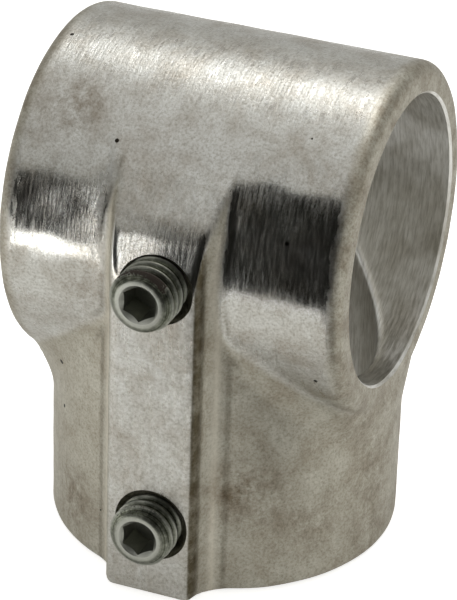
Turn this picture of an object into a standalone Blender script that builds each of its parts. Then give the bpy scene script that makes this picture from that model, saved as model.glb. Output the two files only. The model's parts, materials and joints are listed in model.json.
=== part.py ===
"""Slip-on rail tee, the casting that joins a boat's guard rail to the top of a stanchion.

The rail pipe runs through the upper socket along X and the post stands in the lower
socket along Z. A rib down the front, towards -Y, thickens the wall for two set screws:
the upper one clamps the rail and the lower one clamps the post.
Everything is in metres, +Z up. The origin is on the post's axis at the casting's foot.
"""

import math

import bmesh
import bpy
import numpy as np
from mathutils import Matrix

# The pipe: 1-1/4 inch nominal, 42.16 mm outside, for the rail and for the post
PIPE_RADIUS = 0.02108
RAIL_CLEARANCE = 0.00037  # radial, so that the casting slips along the rail
POST_CLEARANCE = 0.00082

# The casting
RAIL_WALL = 0.0046
POST_WALL = 0.0044
RAIL_SOCKET_LENGTH = 0.0524
RAIL_AXIS_HEIGHT = 0.0503  # from the foot to the rail's axis
RAIL_RIM_ROUND = 0.0023
POST_RIM_ROUND = 0.0015
SOCKET_FILLET = 0.0075  # the rolling radius where the two sockets meet
SHOULDER_RISE = 0.0150  # how far the post socket reaches above the rail's axis, inside the rail socket
SHOULDER_ROUND = 0.0200

# The rib that the screws go through
RIB_STAND = 0.0035  # how far its front stands off the post socket
RIB_FRONT_WIDTH = 0.0132
RIB_DRAFT = math.radians(15)  # each flank leans out by this, so that the pattern leaves the sand
RIB_EDGE_ROUND = 0.0013
RIB_VALLEY_ROUND = 0.0022
RIB_BROW_ANGLE = math.radians(42)  # where the rib runs out on the rail socket, above level
RIB_BROW_ROUND = 0.0150

# The screws: 3/8-16 UNC cup point socket set screws, 3/8 inch long
THREAD_DIAMETER = 0.009525
THREAD_PITCH = 0.0015875
THREAD_CLEARANCE = 0.0002  # radial, between a screw's thread and the tapped hole
SCREW_LENGTH = 0.009525
HEX_ACROSS_FLATS = 0.0047625
HEX_DEPTH = 0.0046
HEAD_CHAMFER = 0.00066  # how far the head's face lies in from the thread's crest
HEAD_CHAMFER_LENGTH = 0.0006
HEAD_RING = 0.0007  # the width of the flat ring round the hexagon's lead-in
POINT_LENGTH = 0.0013
POINT_RELIEF = 0.0002  # how far the point's base lies in from the thread's root
POINT_TAPER = 0.0010
CUP_LIP = 0.0007
CUP_DEPTH = 0.0007
POINT_GAP = 0.0003  # between a screw's shank and its point, which only travels

# Where the screws are and how far each stands out of the rib
POST_SCREW_HEIGHT = 0.0117
RAIL_SCREW_PROUD = 0.0047
POST_SCREW_PROUD = 0.0036
COUNTERSINK_MARGIN = 0.0010  # the countersink's radius less the thread's

# How finely round things are cut
BORE_SEGMENTS = 72
SCREW_SEGMENTS = 24
SKIN_VOXEL = 0.0027
SKIN_EVENING = 3  # how often the skin's mesh is evened out before it is put back on the skin
LOOP_SNAP = 0.0005  # a vertex this near a cut loop is used instead of a new one
PAST = 0.004  # how far a cutter runs past what it cuts
TRIM_MARGIN = 0.001  # how far the shape that trims a screw's ends reaches past its thread

RAIL_BORE_RADIUS = PIPE_RADIUS + RAIL_CLEARANCE
POST_BORE_RADIUS = PIPE_RADIUS + POST_CLEARANCE
RAIL_OUTER_RADIUS = RAIL_BORE_RADIUS + RAIL_WALL
POST_OUTER_RADIUS = POST_BORE_RADIUS + POST_WALL
RIB_FRONT = POST_OUTER_RADIUS + RIB_STAND
THREAD_CREST = THREAD_DIAMETER / 2
THREAD_DEPTH = 0.6134 * THREAD_PITCH  # of a 60 degree unified thread
FLANK_RUN = THREAD_DEPTH * math.tan(math.radians(30))
COUNTERSINK_RADIUS = THREAD_CREST + COUNTERSINK_MARGIN
HEAD_FACE_RADIUS = THREAD_CREST - HEAD_CHAMFER
HEX_MOUTH_RADIUS = HEAD_FACE_RADIUS - HEAD_RING
POINT_BASE_RADIUS = THREAD_CREST - THREAD_DEPTH - POINT_RELIEF
POINT_TIP_RADIUS = POINT_BASE_RADIUS - POINT_TAPER
CUP_RADIUS = POINT_TIP_RADIUS - CUP_LIP


# ---- the casting's skin, as a distance to its surface ----


def soft_union(a, b, contact):
    """The distance to two shapes joined by a fillet that touches each this far from the other."""
    contact = np.maximum(contact, 1e-9)
    inside = np.hypot(np.maximum(contact - a, 0), np.maximum(contact - b, 0))
    return np.maximum(contact, np.minimum(a, b)) - inside


def soft_corner(a, b, contact):
    """The distance to what two shapes share, with their corner rounded in the same way."""
    return -soft_union(-a, -b, contact)


def contact_of(radius, angle):
    """How far a rolling ball touches from a face, where the two faces' normals are this far apart."""
    return radius * (1 - math.cos(angle))


def turned_distance(points, axis, centre, radius, reach, rounding):
    """The distance to a rounded cylinder along an axis, 0 for X or 2 for Z, and its outward normal."""
    offset = points - centre
    along = offset[:, axis].copy()
    offset[:, axis] = 0
    radial = np.maximum(np.linalg.norm(offset, axis=1), 1e-9)
    over = radial - radius + rounding
    past = np.abs(along) - reach + rounding
    outside = np.hypot(np.maximum(over, 0), np.maximum(past, 0))
    distance = outside + np.minimum(np.maximum(over, past), 0) - rounding
    # Off a rim the normal turns from the wall's to the end's; elsewhere the nearer face gives it
    at_rim = outside > 0
    wall_share = np.where(at_rim, np.maximum(over, 0) / np.maximum(outside, 1e-9), over > past)
    end_share = np.where(at_rim, np.maximum(past, 0) / np.maximum(outside, 1e-9), over <= past)
    normal = offset * (wall_share / radial)[:, None]
    normal[:, axis] = np.sign(along) * end_share
    return distance, normal


def skin_distance(points):
    """The signed distance from points to the casting's outer skin, without its bores and holes."""
    x, y, z = points.T
    above = z - RAIL_AXIS_HEIGHT
    rail, rail_normal = turned_distance(
        points, 0, (0, 0, RAIL_AXIS_HEIGHT), RAIL_OUTER_RADIUS, RAIL_SOCKET_LENGTH / 2, RAIL_RIM_ROUND
    )
    # The post's cylinder runs on below the foot, which is cut off level at the end
    post, post_normal = turned_distance(
        points, 2, (0, 0, 0), POST_OUTER_RADIUS, RAIL_AXIS_HEIGHT + SHOULDER_RISE, SHOULDER_ROUND
    )
    turn = 1 - (rail_normal * post_normal).sum(axis=1)
    sockets = soft_union(rail, post, SOCKET_FILLET * turn)

    front = -y - RIB_FRONT
    brow = above * math.sin(RIB_BROW_ANGLE) - y * math.cos(RIB_BROW_ANGLE) - RAIL_OUTER_RADIUS
    face = soft_corner(front, brow, contact_of(RIB_BROW_ROUND, RIB_BROW_ANGLE))
    lean = (y + RIB_FRONT) * math.tan(RIB_DRAFT)
    flank = (np.abs(x) - RIB_FRONT_WIDTH / 2 - lean) * math.cos(RIB_DRAFT)
    rib = soft_corner(face, flank, contact_of(RIB_EDGE_ROUND, math.pi / 2 - RIB_DRAFT))
    # The rib lies in front of the post's axis, and below the line where its brow meets the rail socket
    rib = np.maximum(rib, np.maximum(y, y * math.sin(RIB_BROW_ANGLE) + above * math.cos(RIB_BROW_ANGLE)))
    skin = soft_union(sockets, rib, np.clip(sockets - face, 0, RIB_VALLEY_ROUND))
    return soft_corner(skin, -z, POST_RIM_ROUND)


def walk_to_skin(mesh, steps=6, probe=2e-6):
    """Moves each vertex down the slope of skin_distance until it lies on the skin."""
    points = np.empty(len(mesh.vertices) * 3)
    mesh.vertices.foreach_get("co", points)
    points = points.reshape(-1, 3)
    for _ in range(steps):
        slope = np.empty_like(points)
        for axis in range(3):
            aside = np.zeros(3)
            aside[axis] = probe
            slope[:, axis] = skin_distance(points + aside) - skin_distance(points - aside)
        slope /= 2 * probe
        steepness = np.maximum((slope * slope).sum(axis=1), 0.2)
        points -= slope * (skin_distance(points) / steepness)[:, None]
    mesh.vertices.foreach_set("co", points.ravel())
    mesh.update()


def loops_round(rim, rounding, outward):
    """Planes across a rounded rim, from where it leaves the wall nearly to the end face."""
    for angle in (0, 30, 60):
        back = rounding * (1 - math.sin(math.radians(angle)))
        yield rim - outward * back, outward


def cut_loops(shape):
    """Edge loops round the three rims and down both sides of the rib, so that they come out clean."""
    planes = []
    for side in (-1, 1):
        end = np.array((side * RAIL_SOCKET_LENGTH / 2, 0, 0))
        planes += loops_round(end, RAIL_RIM_ROUND, np.array((side, 0, 0)))
    planes += loops_round(np.zeros(3), POST_RIM_ROUND, np.array((0, 0, -1)))
    for place, across in planes:
        everything = shape.verts[:] + shape.edges[:] + shape.faces[:]
        bmesh.ops.bisect_plane(shape, geom=everything, dist=LOOP_SNAP, plane_co=place, plane_no=across)
    foot = RIB_FRONT_WIDTH / 2 + (RIB_STAND + RIB_VALLEY_ROUND) * math.tan(RIB_DRAFT)
    for side in (-1, 1):
        for x in (RIB_FRONT_WIDTH / 2 - RIB_EDGE_ROUND, RIB_FRONT_WIDTH / 2, foot, foot + RIB_VALLEY_ROUND):
            faces = [face for face in shape.faces if face.calc_center_median().y < -POST_BORE_RADIUS]
            near = {edge for face in faces for edge in face.edges}
            corners = {corner for face in faces for corner in face.verts}
            bmesh.ops.bisect_plane(
                shape, geom=[*corners, *near, *faces], dist=LOOP_SNAP, plane_co=(side * x, 0, 0),
                plane_no=(side, 0, 0),
            )
    bmesh.ops.triangulate(shape, faces=shape.faces)


# ---- Blender helpers ----


def clear_scene():
    for obj in list(bpy.data.objects):
        bpy.data.objects.remove(obj, do_unlink=True)


def new_object(name, shape, location=(0, 0, 0), rotation=(0, 0, 0)):
    """An object made from a bmesh, which is freed."""
    bmesh.ops.recalc_face_normals(shape, faces=shape.faces)
    mesh = bpy.data.meshes.new(name)
    shape.to_mesh(mesh)
    shape.free()
    obj = bpy.data.objects.new(name, mesh)
    obj.location = location
    obj.rotation_euler = rotation
    bpy.context.scene.collection.objects.link(obj)
    return obj


def baked(obj):
    """Puts what the object's modifiers make into its mesh."""
    graph = bpy.context.evaluated_depsgraph_get()
    obj.data = bpy.data.meshes.new_from_object(obj.evaluated_get(graph))
    obj.modifiers.clear()


def as_cutter(obj):
    obj.hide_render = True
    obj.display_type = "WIRE"
    return obj


def boolean(obj, other, operation="DIFFERENCE"):
    modifier = obj.modifiers.new(other.name, "BOOLEAN")
    modifier.object = as_cutter(other)
    modifier.operation = operation
    modifier.solver = "EXACT"


def finish(obj, colour, metallic, roughness, sharp_degrees=35):
    material = bpy.data.materials.new(obj.name)
    material.use_nodes = True
    shader = material.node_tree.nodes["Principled BSDF"]
    shader.inputs["Base Color"].default_value = (*colour, 1)
    shader.inputs["Metallic"].default_value = metallic
    shader.inputs["Roughness"].default_value = roughness
    obj.data.materials.clear()
    obj.data.materials.append(material)
    obj.data.shade_smooth()
    obj.data.set_sharp_from_angle(angle=math.radians(sharp_degrees))


def turned(outline, segments):
    """A solid turned about Z from (radius, height) points that start and end on the axis.

    It starts half a step round, so that its edges don't run along a thread's or a hexagon's.
    """
    shape = bmesh.new()
    start = math.pi / segments
    corners = [
        shape.verts.new((radius * math.cos(start), radius * math.sin(start), height))
        for radius, height in outline
    ]
    edges = [shape.edges.new(pair) for pair in zip(corners, corners[1:])]
    bmesh.ops.spin(
        shape, geom=corners + edges, axis=(0, 0, 1), cent=(0, 0, 0), angle=math.tau, steps=segments,
        use_merge=True,
    )
    bmesh.ops.remove_doubles(shape, verts=shape.verts, dist=1e-7)
    return shape


def rod(radius, low, high, segments):
    return turned([(0, low), (radius, low), (radius, high), (0, high)], segments)


def threaded_rod(crest, low, high):
    """A right-hand threaded rod about Z, from under low to over high, with a crest at angle and height 0."""
    root = crest - THREAD_DEPTH
    flat = THREAD_PITCH / 16  # half of the crest's flat
    root_start = flat + FLANK_RUN
    profile = [(crest, -flat), (crest, flat), (root, root_start), (root, THREAD_PITCH - root_start)]
    turns = range(math.floor(low / THREAD_PITCH) - 1, math.ceil(high / THREAD_PITCH) + 1)
    rows = [(radius, turn * THREAD_PITCH + shift) for turn in turns for radius, shift in profile]
    shape = bmesh.new()
    columns = []
    for step in range(SCREW_SEGMENTS):
        angle = math.tau * step / SCREW_SEGMENTS
        climb = THREAD_PITCH * step / SCREW_SEGMENTS
        columns.append([
            shape.verts.new((radius * math.cos(angle), radius * math.sin(angle), height + climb))
            for radius, height in rows
        ])
    # After one turn a row meets the same row of the next turn up
    columns.append(columns[0][len(profile):])
    for left, right in zip(columns, columns[1:]):
        for a, b, c, d in zip(left, left[1:], right[1:], right):
            shape.faces.new((a, b, c, d))
    middle = (low + high) / 2
    for below in (True, False):
        end = [e for e in shape.edges if e.is_boundary and (e.verts[0].co.z < middle) == below]
        drawn = bmesh.ops.extrude_edge_only(shape, edges=end)["geom"]
        corners = [item for item in drawn if isinstance(item, bmesh.types.BMVert)]
        height = sum(corner.co.z for corner in corners) / len(corners)
        bmesh.ops.pointmerge(shape, verts=corners, merge_co=(0, 0, height))
    return shape


# ---- the pieces ----


def make_casting():
    """The tee: a blended skin over two sockets and the rib, then bored, tapped and countersunk."""
    shape = bmesh.new()
    along_x = Matrix.Rotation(math.pi / 2, 4, "Y")
    at_axis = Matrix.Translation((0, 0, RAIL_AXIS_HEIGHT))
    bmesh.ops.create_cone(
        shape, cap_ends=True, segments=BORE_SEGMENTS, radius1=RAIL_OUTER_RADIUS, radius2=RAIL_OUTER_RADIUS,
        depth=RAIL_SOCKET_LENGTH, matrix=at_axis @ along_x,
    )
    bmesh.ops.create_cone(
        shape, cap_ends=True, segments=BORE_SEGMENTS, radius1=POST_OUTER_RADIUS, radius2=POST_OUTER_RADIUS,
        depth=RAIL_AXIS_HEIGHT, matrix=Matrix.Translation((0, 0, RAIL_AXIS_HEIGHT / 2)),
    )
    size = Matrix.Diagonal((RIB_FRONT_WIDTH, RIB_FRONT, RAIL_AXIS_HEIGHT, 1))
    place = Matrix.Translation((0, -RIB_FRONT / 2, RAIL_AXIS_HEIGHT / 2))
    bmesh.ops.create_cube(shape, size=1, matrix=place @ size)
    casting = new_object("tee_casting", shape)

    remesh = casting.modifiers.new("skin", "REMESH")
    remesh.mode = "VOXEL"
    remesh.voxel_size = SKIN_VOXEL
    baked(casting)
    walk_to_skin(casting.data)
    even = casting.modifiers.new("even", "SMOOTH")
    even.iterations = SKIN_EVENING
    baked(casting)
    walk_to_skin(casting.data)
    shape = bmesh.new()
    shape.from_mesh(casting.data)
    cut_loops(shape)
    shape.to_mesh(casting.data)
    shape.free()
    walk_to_skin(casting.data)

    rail_reach = max(RAIL_SOCKET_LENGTH / 2, POST_OUTER_RADIUS) + PAST
    rail_bore = rod(RAIL_BORE_RADIUS, -rail_reach, rail_reach, BORE_SEGMENTS)
    boolean(casting, new_object("rail_bore", rail_bore, (0, 0, RAIL_AXIS_HEIGHT), (0, math.pi / 2, 0)))
    post_bore = rod(POST_BORE_RADIUS, -PAST, RAIL_AXIS_HEIGHT, BORE_SEGMENTS)
    boolean(casting, new_object("post_bore", post_bore))
    for name, height in (("rail", RAIL_AXIS_HEIGHT), ("post", POST_SCREW_HEIGHT)):
        place = hole_place(height)
        wall = RIB_FRONT - RAIL_BORE_RADIUS
        tapped = threaded_rod(THREAD_CREST + THREAD_CLEARANCE, -PAST, wall + PAST)
        boolean(casting, new_object(name + "_tapped_hole", tapped, *place))
        cone = [(0, -PAST), (COUNTERSINK_RADIUS + PAST, -PAST), (0, COUNTERSINK_RADIUS)]
        boolean(casting, new_object(name + "_countersink", turned(cone, 2 * SCREW_SEGMENTS), *place))
    finish(casting, (0.60, 0.58, 0.53), 1.0, 0.34)


def hole_place(height):
    """Location and rotation with local Z into the rib, from its front face at this height."""
    return (0, -RIB_FRONT, height), (-math.pi / 2, 0, 0)


def make_screw(name, height, proud):
    """One set screw, as its threaded shank and the cup point at its inner end."""
    place = hole_place(height)
    face = -proud
    shank_end = face + SCREW_LENGTH - POINT_LENGTH - POINT_GAP
    wide = THREAD_CREST + TRIM_MARGIN
    flare = HEAD_CHAMFER_LENGTH / HEAD_CHAMFER
    envelope = turned(
        [
            (0, face),
            (HEAD_FACE_RADIUS, face),
            (wide, face + (wide - HEAD_FACE_RADIUS) * flare),
            (wide, shank_end - (wide - POINT_BASE_RADIUS)),
            (POINT_BASE_RADIUS, shank_end),
            (0, shank_end),
        ],
        2 * SCREW_SEGMENTS,
    )
    shank = new_object(name + "_set_screw", threaded_rod(THREAD_CREST, face, shank_end), *place)
    boolean(shank, new_object(name + "_screw_envelope", envelope, *place), "INTERSECT")

    hexagon = bmesh.new()
    corner_radius = HEX_ACROSS_FLATS / 2 / math.cos(math.pi / 6)
    deep = HEX_DEPTH + PAST
    bmesh.ops.create_cone(
        hexagon, cap_ends=True, segments=6, radius1=corner_radius, radius2=corner_radius, depth=deep,
        matrix=Matrix.Translation((0, 0, face + HEX_DEPTH - deep / 2)),
    )
    boolean(shank, new_object(name + "_hex_socket", hexagon, *place))
    lead = [(0, face - PAST), (HEX_MOUTH_RADIUS + PAST, face - PAST), (0, face + HEX_MOUTH_RADIUS)]
    boolean(shank, new_object(name + "_hex_lead_in", turned(lead, 2 * SCREW_SEGMENTS), *place))
    finish(shank, (0.20, 0.20, 0.17), 1.0, 0.38)

    tip = face + SCREW_LENGTH
    point = turned(
        [
            (0, tip - POINT_LENGTH),
            (POINT_BASE_RADIUS, tip - POINT_LENGTH),
            (POINT_TIP_RADIUS, tip),
            (CUP_RADIUS, tip),
            (0, tip - CUP_DEPTH),
        ],
        2 * SCREW_SEGMENTS,
    )
    finish(new_object(name + "_screw_point", point, *place), (0.24, 0.24, 0.21), 1.0, 0.35)


clear_scene()
make_casting()
make_screw("rail", RAIL_AXIS_HEIGHT, RAIL_SCREW_PROUD)
make_screw("post", POST_SCREW_HEIGHT, POST_SCREW_PROUD)
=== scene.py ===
# %% [markdown]
# # A slip-on tee for a boat's guard rail
#
# The real object is one aluminium casting with two socket set screws. The rail's pipe runs
# through the upper socket, the stanchion's post goes up the lower one, and each screw clamps
# its pipe. The casting was poured in sand, tumbled with abrasive stones until it was satin,
# and then bored, drilled and tapped.
#
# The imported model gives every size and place. This file adds the finer shapes and finishes.

import json
import math

import bmesh
import bpy
import numpy as np
from mathutils import Matrix, Vector


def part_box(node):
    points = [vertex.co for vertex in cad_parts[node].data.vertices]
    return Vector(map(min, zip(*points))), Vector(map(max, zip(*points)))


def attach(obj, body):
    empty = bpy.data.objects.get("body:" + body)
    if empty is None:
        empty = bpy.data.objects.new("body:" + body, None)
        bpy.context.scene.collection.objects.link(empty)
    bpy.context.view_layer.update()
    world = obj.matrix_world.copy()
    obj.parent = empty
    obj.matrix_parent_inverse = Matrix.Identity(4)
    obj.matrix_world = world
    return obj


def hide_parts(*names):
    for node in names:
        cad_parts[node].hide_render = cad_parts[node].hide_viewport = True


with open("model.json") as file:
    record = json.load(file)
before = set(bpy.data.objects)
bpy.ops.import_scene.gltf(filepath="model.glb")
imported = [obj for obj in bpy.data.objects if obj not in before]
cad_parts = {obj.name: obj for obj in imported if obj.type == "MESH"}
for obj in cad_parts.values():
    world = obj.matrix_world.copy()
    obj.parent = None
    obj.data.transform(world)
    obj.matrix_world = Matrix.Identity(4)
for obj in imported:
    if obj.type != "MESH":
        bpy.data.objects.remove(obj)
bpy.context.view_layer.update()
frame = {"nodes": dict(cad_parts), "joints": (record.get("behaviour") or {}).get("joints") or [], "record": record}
MM = 0.001
mounts = {mount["name"]: mount for mount in frame["record"]["mounts"]}
joints = {joint["name"]: joint for joint in frame["joints"]}

# %% [markdown]
# ## Read the sizes from the frame
#
# The mounts say where the flat ends and the rib's front are, and the joints say where each
# screw turns. The bores are measured on the casting itself: round a bore's axis, its wall is
# the nearest metal.

# %% Measure the casting
ON_FACE = 0.01 * MM  # a vertex this near a flat end lies on it
RAIL_HALF = mounts["rail_end_right"]["pos_m"][0]
RIB_FRONT = -mounts["rib_front"]["pos_m"][1]
RAIL_HEIGHT = joints["rail_screw_turn"]["pos_m"][2]
POST_SCREW_HEIGHT = joints["post_screw_turn"]["pos_m"][2]
cast_low, cast_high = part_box("tee_casting")
RAIL_RADIUS = cast_high.z - RAIL_HEIGHT
POST_RADIUS = cast_high.y

cast_points = np.array([v.co for v in frame["nodes"]["tee_casting"].data.vertices])
at_mouth = cast_points[cast_points[:, 0] > RAIL_HALF - ON_FACE]
RAIL_BORE = float(np.hypot(at_mouth[:, 1], at_mouth[:, 2] - RAIL_HEIGHT).min())
at_foot = cast_points[cast_points[:, 2] < ON_FACE]
POST_BORE = float(np.hypot(at_foot[:, 0], at_foot[:, 1]).min())
print(f"rail socket: {2 * RAIL_HALF / MM:.1f} mm long, {2 * RAIL_RADIUS / MM:.1f} mm outside, "
      f"bored {2 * RAIL_BORE / MM:.2f} mm")
print(f"post socket: {2 * POST_RADIUS / MM:.1f} mm outside, bored {2 * POST_BORE / MM:.2f} mm")

# %% [markdown]
# ## Camera
#
# The view is from the front right and well above, with a long lens, so that the sockets'
# edges stay nearly parallel. The camera leans a little, as a hand-held one does.

# %% Place the camera
AZIMUTH = math.radians(21.589)
ELEVATION = math.radians(28.001)
LEAN = math.radians(1.854)
LENS_MM = 187.3
SENSOR_MM = 36
STANDPOINT = (0.1505, -0.38123, 0.25248)
back = Vector((math.sin(AZIMUTH) * math.cos(ELEVATION), -math.cos(AZIMUTH) * math.cos(ELEVATION),
               math.sin(ELEVATION)))
level = Vector((math.cos(AZIMUTH), math.sin(AZIMUTH), 0))
upward = back.cross(level)
right = level * math.cos(LEAN) + upward * math.sin(LEAN)
up = upward * math.cos(LEAN) - level * math.sin(LEAN)
camera = bpy.data.objects.new("camera", bpy.data.cameras.new("camera"))
camera.data.lens = LENS_MM
camera.data.sensor_width = SENSOR_MM
camera.data.clip_start = 10 * MM
camera.matrix_world = Matrix.Translation(STANDPOINT) @ Matrix((right, up, back)).transposed().to_4x4()
bpy.context.scene.collection.objects.link(camera)
bpy.context.scene.camera = camera
print(f"camera {Vector(camera.location).length:.3f} m from the foot's centre")

# %% [markdown]
# ## Two helpers for finishes
#
# Colours are given as sRGB hex, as in a paint program, but a shader works in linear light.
# One function turns the one into the other. A second adds a node with its settings and its
# links, so that a finish reads as a list of layers.

# %% Colours and nodes


def linear(hex_colour):
    """An sRGB hex colour as linear red, green, blue and alpha."""
    parts = [int(hex_colour[i:i + 2], 16) / 255 for i in (1, 3, 5)]
    return (*[p / 12.92 if p <= 0.04045 else ((p + 0.055) / 1.055) ** 2.4 for p in parts], 1)


def add(tree, kind, links=None, values=None, stops=(), **settings):
    """Adds a node. Links and values name its inputs; stops are a colour ramp's."""
    node = tree.nodes.new(kind)
    for name, value in settings.items():
        setattr(node, name, value)
    for name, value in (values or {}).items():
        node.inputs[name].default_value = value
    for name, source in (links or {}).items():
        socket = source if isinstance(source, bpy.types.NodeSocket) else source.outputs[0]
        tree.links.new(socket, node.inputs[name])
    for _ in stops[2:]:
        node.color_ramp.elements.new(0.5)
    for number, (place, colour) in enumerate(stops):
        node.color_ramp.elements[number].position = place
        node.color_ramp.elements[number].color = linear(colour)
    return node


def new_finish(name):
    """A material, its node tree and its Principled shader."""
    material = bpy.data.materials.new(name)
    material.use_nodes = True
    return material, material.node_tree, material.node_tree.nodes["Principled BSDF"]


print("mid grey #808080 in linear light:", round(linear("#808080")[0], 3))

# %% [markdown]
# ## The studio
#
# A polished metal has hardly any colour of its own: it shows the room. So the room is made
# first. A pale floor, one long soft light overhead and grey walls give the satin look.
#
# The rest is cards that only reflections see. Two black flags stand in front and give the
# deep dark bands that polished metal needs. The white gap between them lights the left of
# the rib's top, and a white strip under the left flag gives the bright line below its band.
# Two sheets lie on the floor, one to lighten and one to darken what the casting's lower
# half shows.

# %% Cards and lights


def card(name, corners, place, colour, strength):
    """A flat card that glows in one colour, and that shows only in reflections."""
    shape = bmesh.new()
    shape.faces.new([shape.verts.new(place @ Vector((*corner, 0))) for corner in corners])
    mesh = bpy.data.meshes.new(name)
    shape.to_mesh(mesh)
    shape.free()
    obj = bpy.data.objects.new(name, mesh)
    bpy.context.scene.collection.objects.link(obj)
    material = bpy.data.materials.new(name)
    material.use_nodes = True
    tree = material.node_tree
    tree.nodes.clear()
    glow = add(tree, "ShaderNodeEmission", values={"Color": linear(colour), "Strength": strength})
    add(tree, "ShaderNodeOutputMaterial", {0: glow})
    mesh.materials.append(material)
    obj.visible_camera = False
    obj.visible_diffuse = False
    obj.visible_shadow = False


def soft_light(name, size, location, aim, power):
    """A rectangle of soft light that faces its aim."""
    light = bpy.data.lights.new(name, "AREA")
    light.shape = "RECTANGLE"
    light.size, light.size_y = size
    light.energy = power
    obj = bpy.data.objects.new(name, light)
    obj.location = location
    obj.rotation_euler = (Vector(aim) - Vector(location)).to_track_quat("-Z", "Y").to_euler()
    bpy.context.scene.collection.objects.link(obj)


# %% Softbox and cards
middle = Vector((0, 0, RAIL_HEIGHT))
soft_light("overhead_softbox", (0.60, 0.13), middle + Vector((0.05, 0.20, 0.60)), middle, 1.12)

# Corners of the standing cards are metres to the right and up, on a plane in front
CARDS_IN_FRONT = 0.125
standing = Matrix.Translation((0, -CARDS_IN_FRONT, 0)) @ Matrix.Rotation(math.pi / 2, 4, "X")
card("black_flag_right", [(-0.039, -0.001), (0.15, -0.001), (0.15, 0.18), (-0.042, 0.165)],
     standing, "#1C1C1A", 1.0)
card("black_flag_left", [(-0.30, 0.022), (-0.050, 0.022), (-0.050, 0.072), (-0.058, 0.112),
                         (-0.072, 0.104), (-0.30, 0.10)], standing, "#20201E", 1.0)
card("white_gap", [(-0.048, 0.030), (-0.0395, 0.030), (-0.041, 0.100), (-0.048, 0.100)],
     standing, "#FFFFFF", 3.0)
card("white_strip_left", [(-0.30, 0), (-0.048, 0), (-0.048, 0.021), (-0.30, 0.021)],
     standing, "#FFFFFF", 3.4)

# Corners of the sheets are metres to the right and back, just over the floor
on_floor = Matrix.Translation((0, 0, 1.2 * MM))
card("white_strip_right", [(-0.034, -0.124), (0.12, -0.124), (0.12, -0.100), (-0.034, -0.100)],
     on_floor, "#FFFFFF", 0.9)
card("grey_sheet", [(0.034, -0.075), (0.10, -0.085), (0.10, -0.036), (0.045, -0.036)],
     on_floor, "#5A5A56", 1.0)
print(f"studio: one softbox, four cards {CARDS_IN_FRONT / MM:.0f} mm in front, two sheets on the floor")

# %% Floor
FLOOR_HALF = 1.5
FLOOR_GAP = 0.2 * MM
floor_shape = bmesh.new()
bmesh.ops.create_grid(floor_shape, x_segments=1, y_segments=1, size=FLOOR_HALF)
floor_mesh = bpy.data.meshes.new("floor")
floor_shape.to_mesh(floor_mesh)
floor_shape.free()
floor = bpy.data.objects.new("floor", floor_mesh)
floor.location.z = cast_low.z - FLOOR_GAP
bpy.context.scene.collection.objects.link(floor)
paper, tree, shader = new_finish("pale_paper")
shader.inputs["Base Color"].default_value = linear("#E4E3E0")
shader.inputs["Roughness"].default_value = 0.9
shader.inputs["Specular IOR Level"].default_value = 0.0
shader.inputs["Emission Color"].default_value = linear("#FFFFFF")
# The paper glows a little, and more where it is looked at, so that it reads as a white sweep
rays = add(tree, "ShaderNodeLightPath")
lift = add(tree, "ShaderNodeMapRange", {0: rays.outputs["Is Camera Ray"]},
           {"To Min": 0.20, "To Max": 0.75})
tree.links.new(lift.outputs[0], shader.inputs["Emission Strength"])
floor_mesh.materials.append(paper)
print(f"floor: {2 * FLOOR_HALF:.0f} m wide, {FLOOR_GAP / MM:.1f} mm under the foot")

# %% Room
world = bpy.data.worlds.new("grey_room")
bpy.context.scene.world = world
world.use_nodes = True
tree = world.node_tree
tree.nodes.clear()
direction = add(tree, "ShaderNodeTexCoord")
height = add(tree, "ShaderNodeSeparateXYZ", {0: direction.outputs["Generated"]})
walls = add(tree, "ShaderNodeValToRGB", {0: height.outputs["Z"]},
            stops=[(0.0, "#C2C2C0"), (0.4, "#B9B9B6"), (1.0, "#E2E2E1")])
room = add(tree, "ShaderNodeBackground", {"Color": walls}, {"Strength": 1.0})
paper_wall = add(tree, "ShaderNodeBackground", values={"Color": linear("#FFFFFF"), "Strength": 1.0})
rays = add(tree, "ShaderNodeLightPath")
both = add(tree, "ShaderNodeMixShader", {0: rays.outputs["Is Camera Ray"], 1: room, 2: paper_wall})
add(tree, "ShaderNodeOutputWorld", {0: both})
bpy.context.scene.view_settings.view_transform = "Standard"
print("room: grey walls in reflections, white to the camera")

# %% [markdown]
# ## The casting's outer skin
#
# A foundry pattern is a few plain solids with their corners filled: here two cylinders and
# the rib. Modelling them apart and adding a fillet by hand is hard where three of them
# meet. So the skin is written as a distance: negative inside the metal and nought on its
# surface. Two distances are joined by a formula that rounds the corner between them, in
# the way that a ball rolled along it would.

# %% Sizes of the roundings
RAIL_RIM_ROUND = 2.3 * MM
POST_RIM_ROUND = 1.5 * MM
SOCKET_FILLET = 7.5 * MM
SHOULDER_TOP = RAIL_HEIGHT + 15 * MM
SHOULDER_ROUND = 20 * MM
RIB_HALF_WIDTH = 6.6 * MM
RIB_DRAFT = math.radians(15)
RIB_EDGE_ROUND = 1.3 * MM
RIB_VALLEY_ROUND = 2.2 * MM
BROW_ANGLE = math.radians(42)
BROW_ROUND = 15 * MM
HAND_FINISH = 0.03 * MM  # how far tumbling and hand work leave the skin from true
print(f"rib: {2 * RIB_HALF_WIDTH / MM:.1f} mm wide, {(RIB_FRONT - POST_RADIUS) / MM:.1f} mm proud")

# %% Join two distances


def soft_union(a, b, contact):
    """Two shapes joined by a fillet that touches each this far from the other."""
    contact = np.maximum(contact, 1e-9)
    inside = np.hypot(np.maximum(contact - a, 0), np.maximum(contact - b, 0))
    return np.maximum(contact, np.minimum(a, b)) - inside


def soft_corner(a, b, contact):
    """What two shapes share, with their corner rounded in the same way."""
    return -soft_union(-a, -b, contact)


print(f"a fillet that reaches 3 mm up each wall is {-soft_union(0, 0, 3):.2f} mm deep in the corner")

# %% Bars with rounded ends


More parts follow.
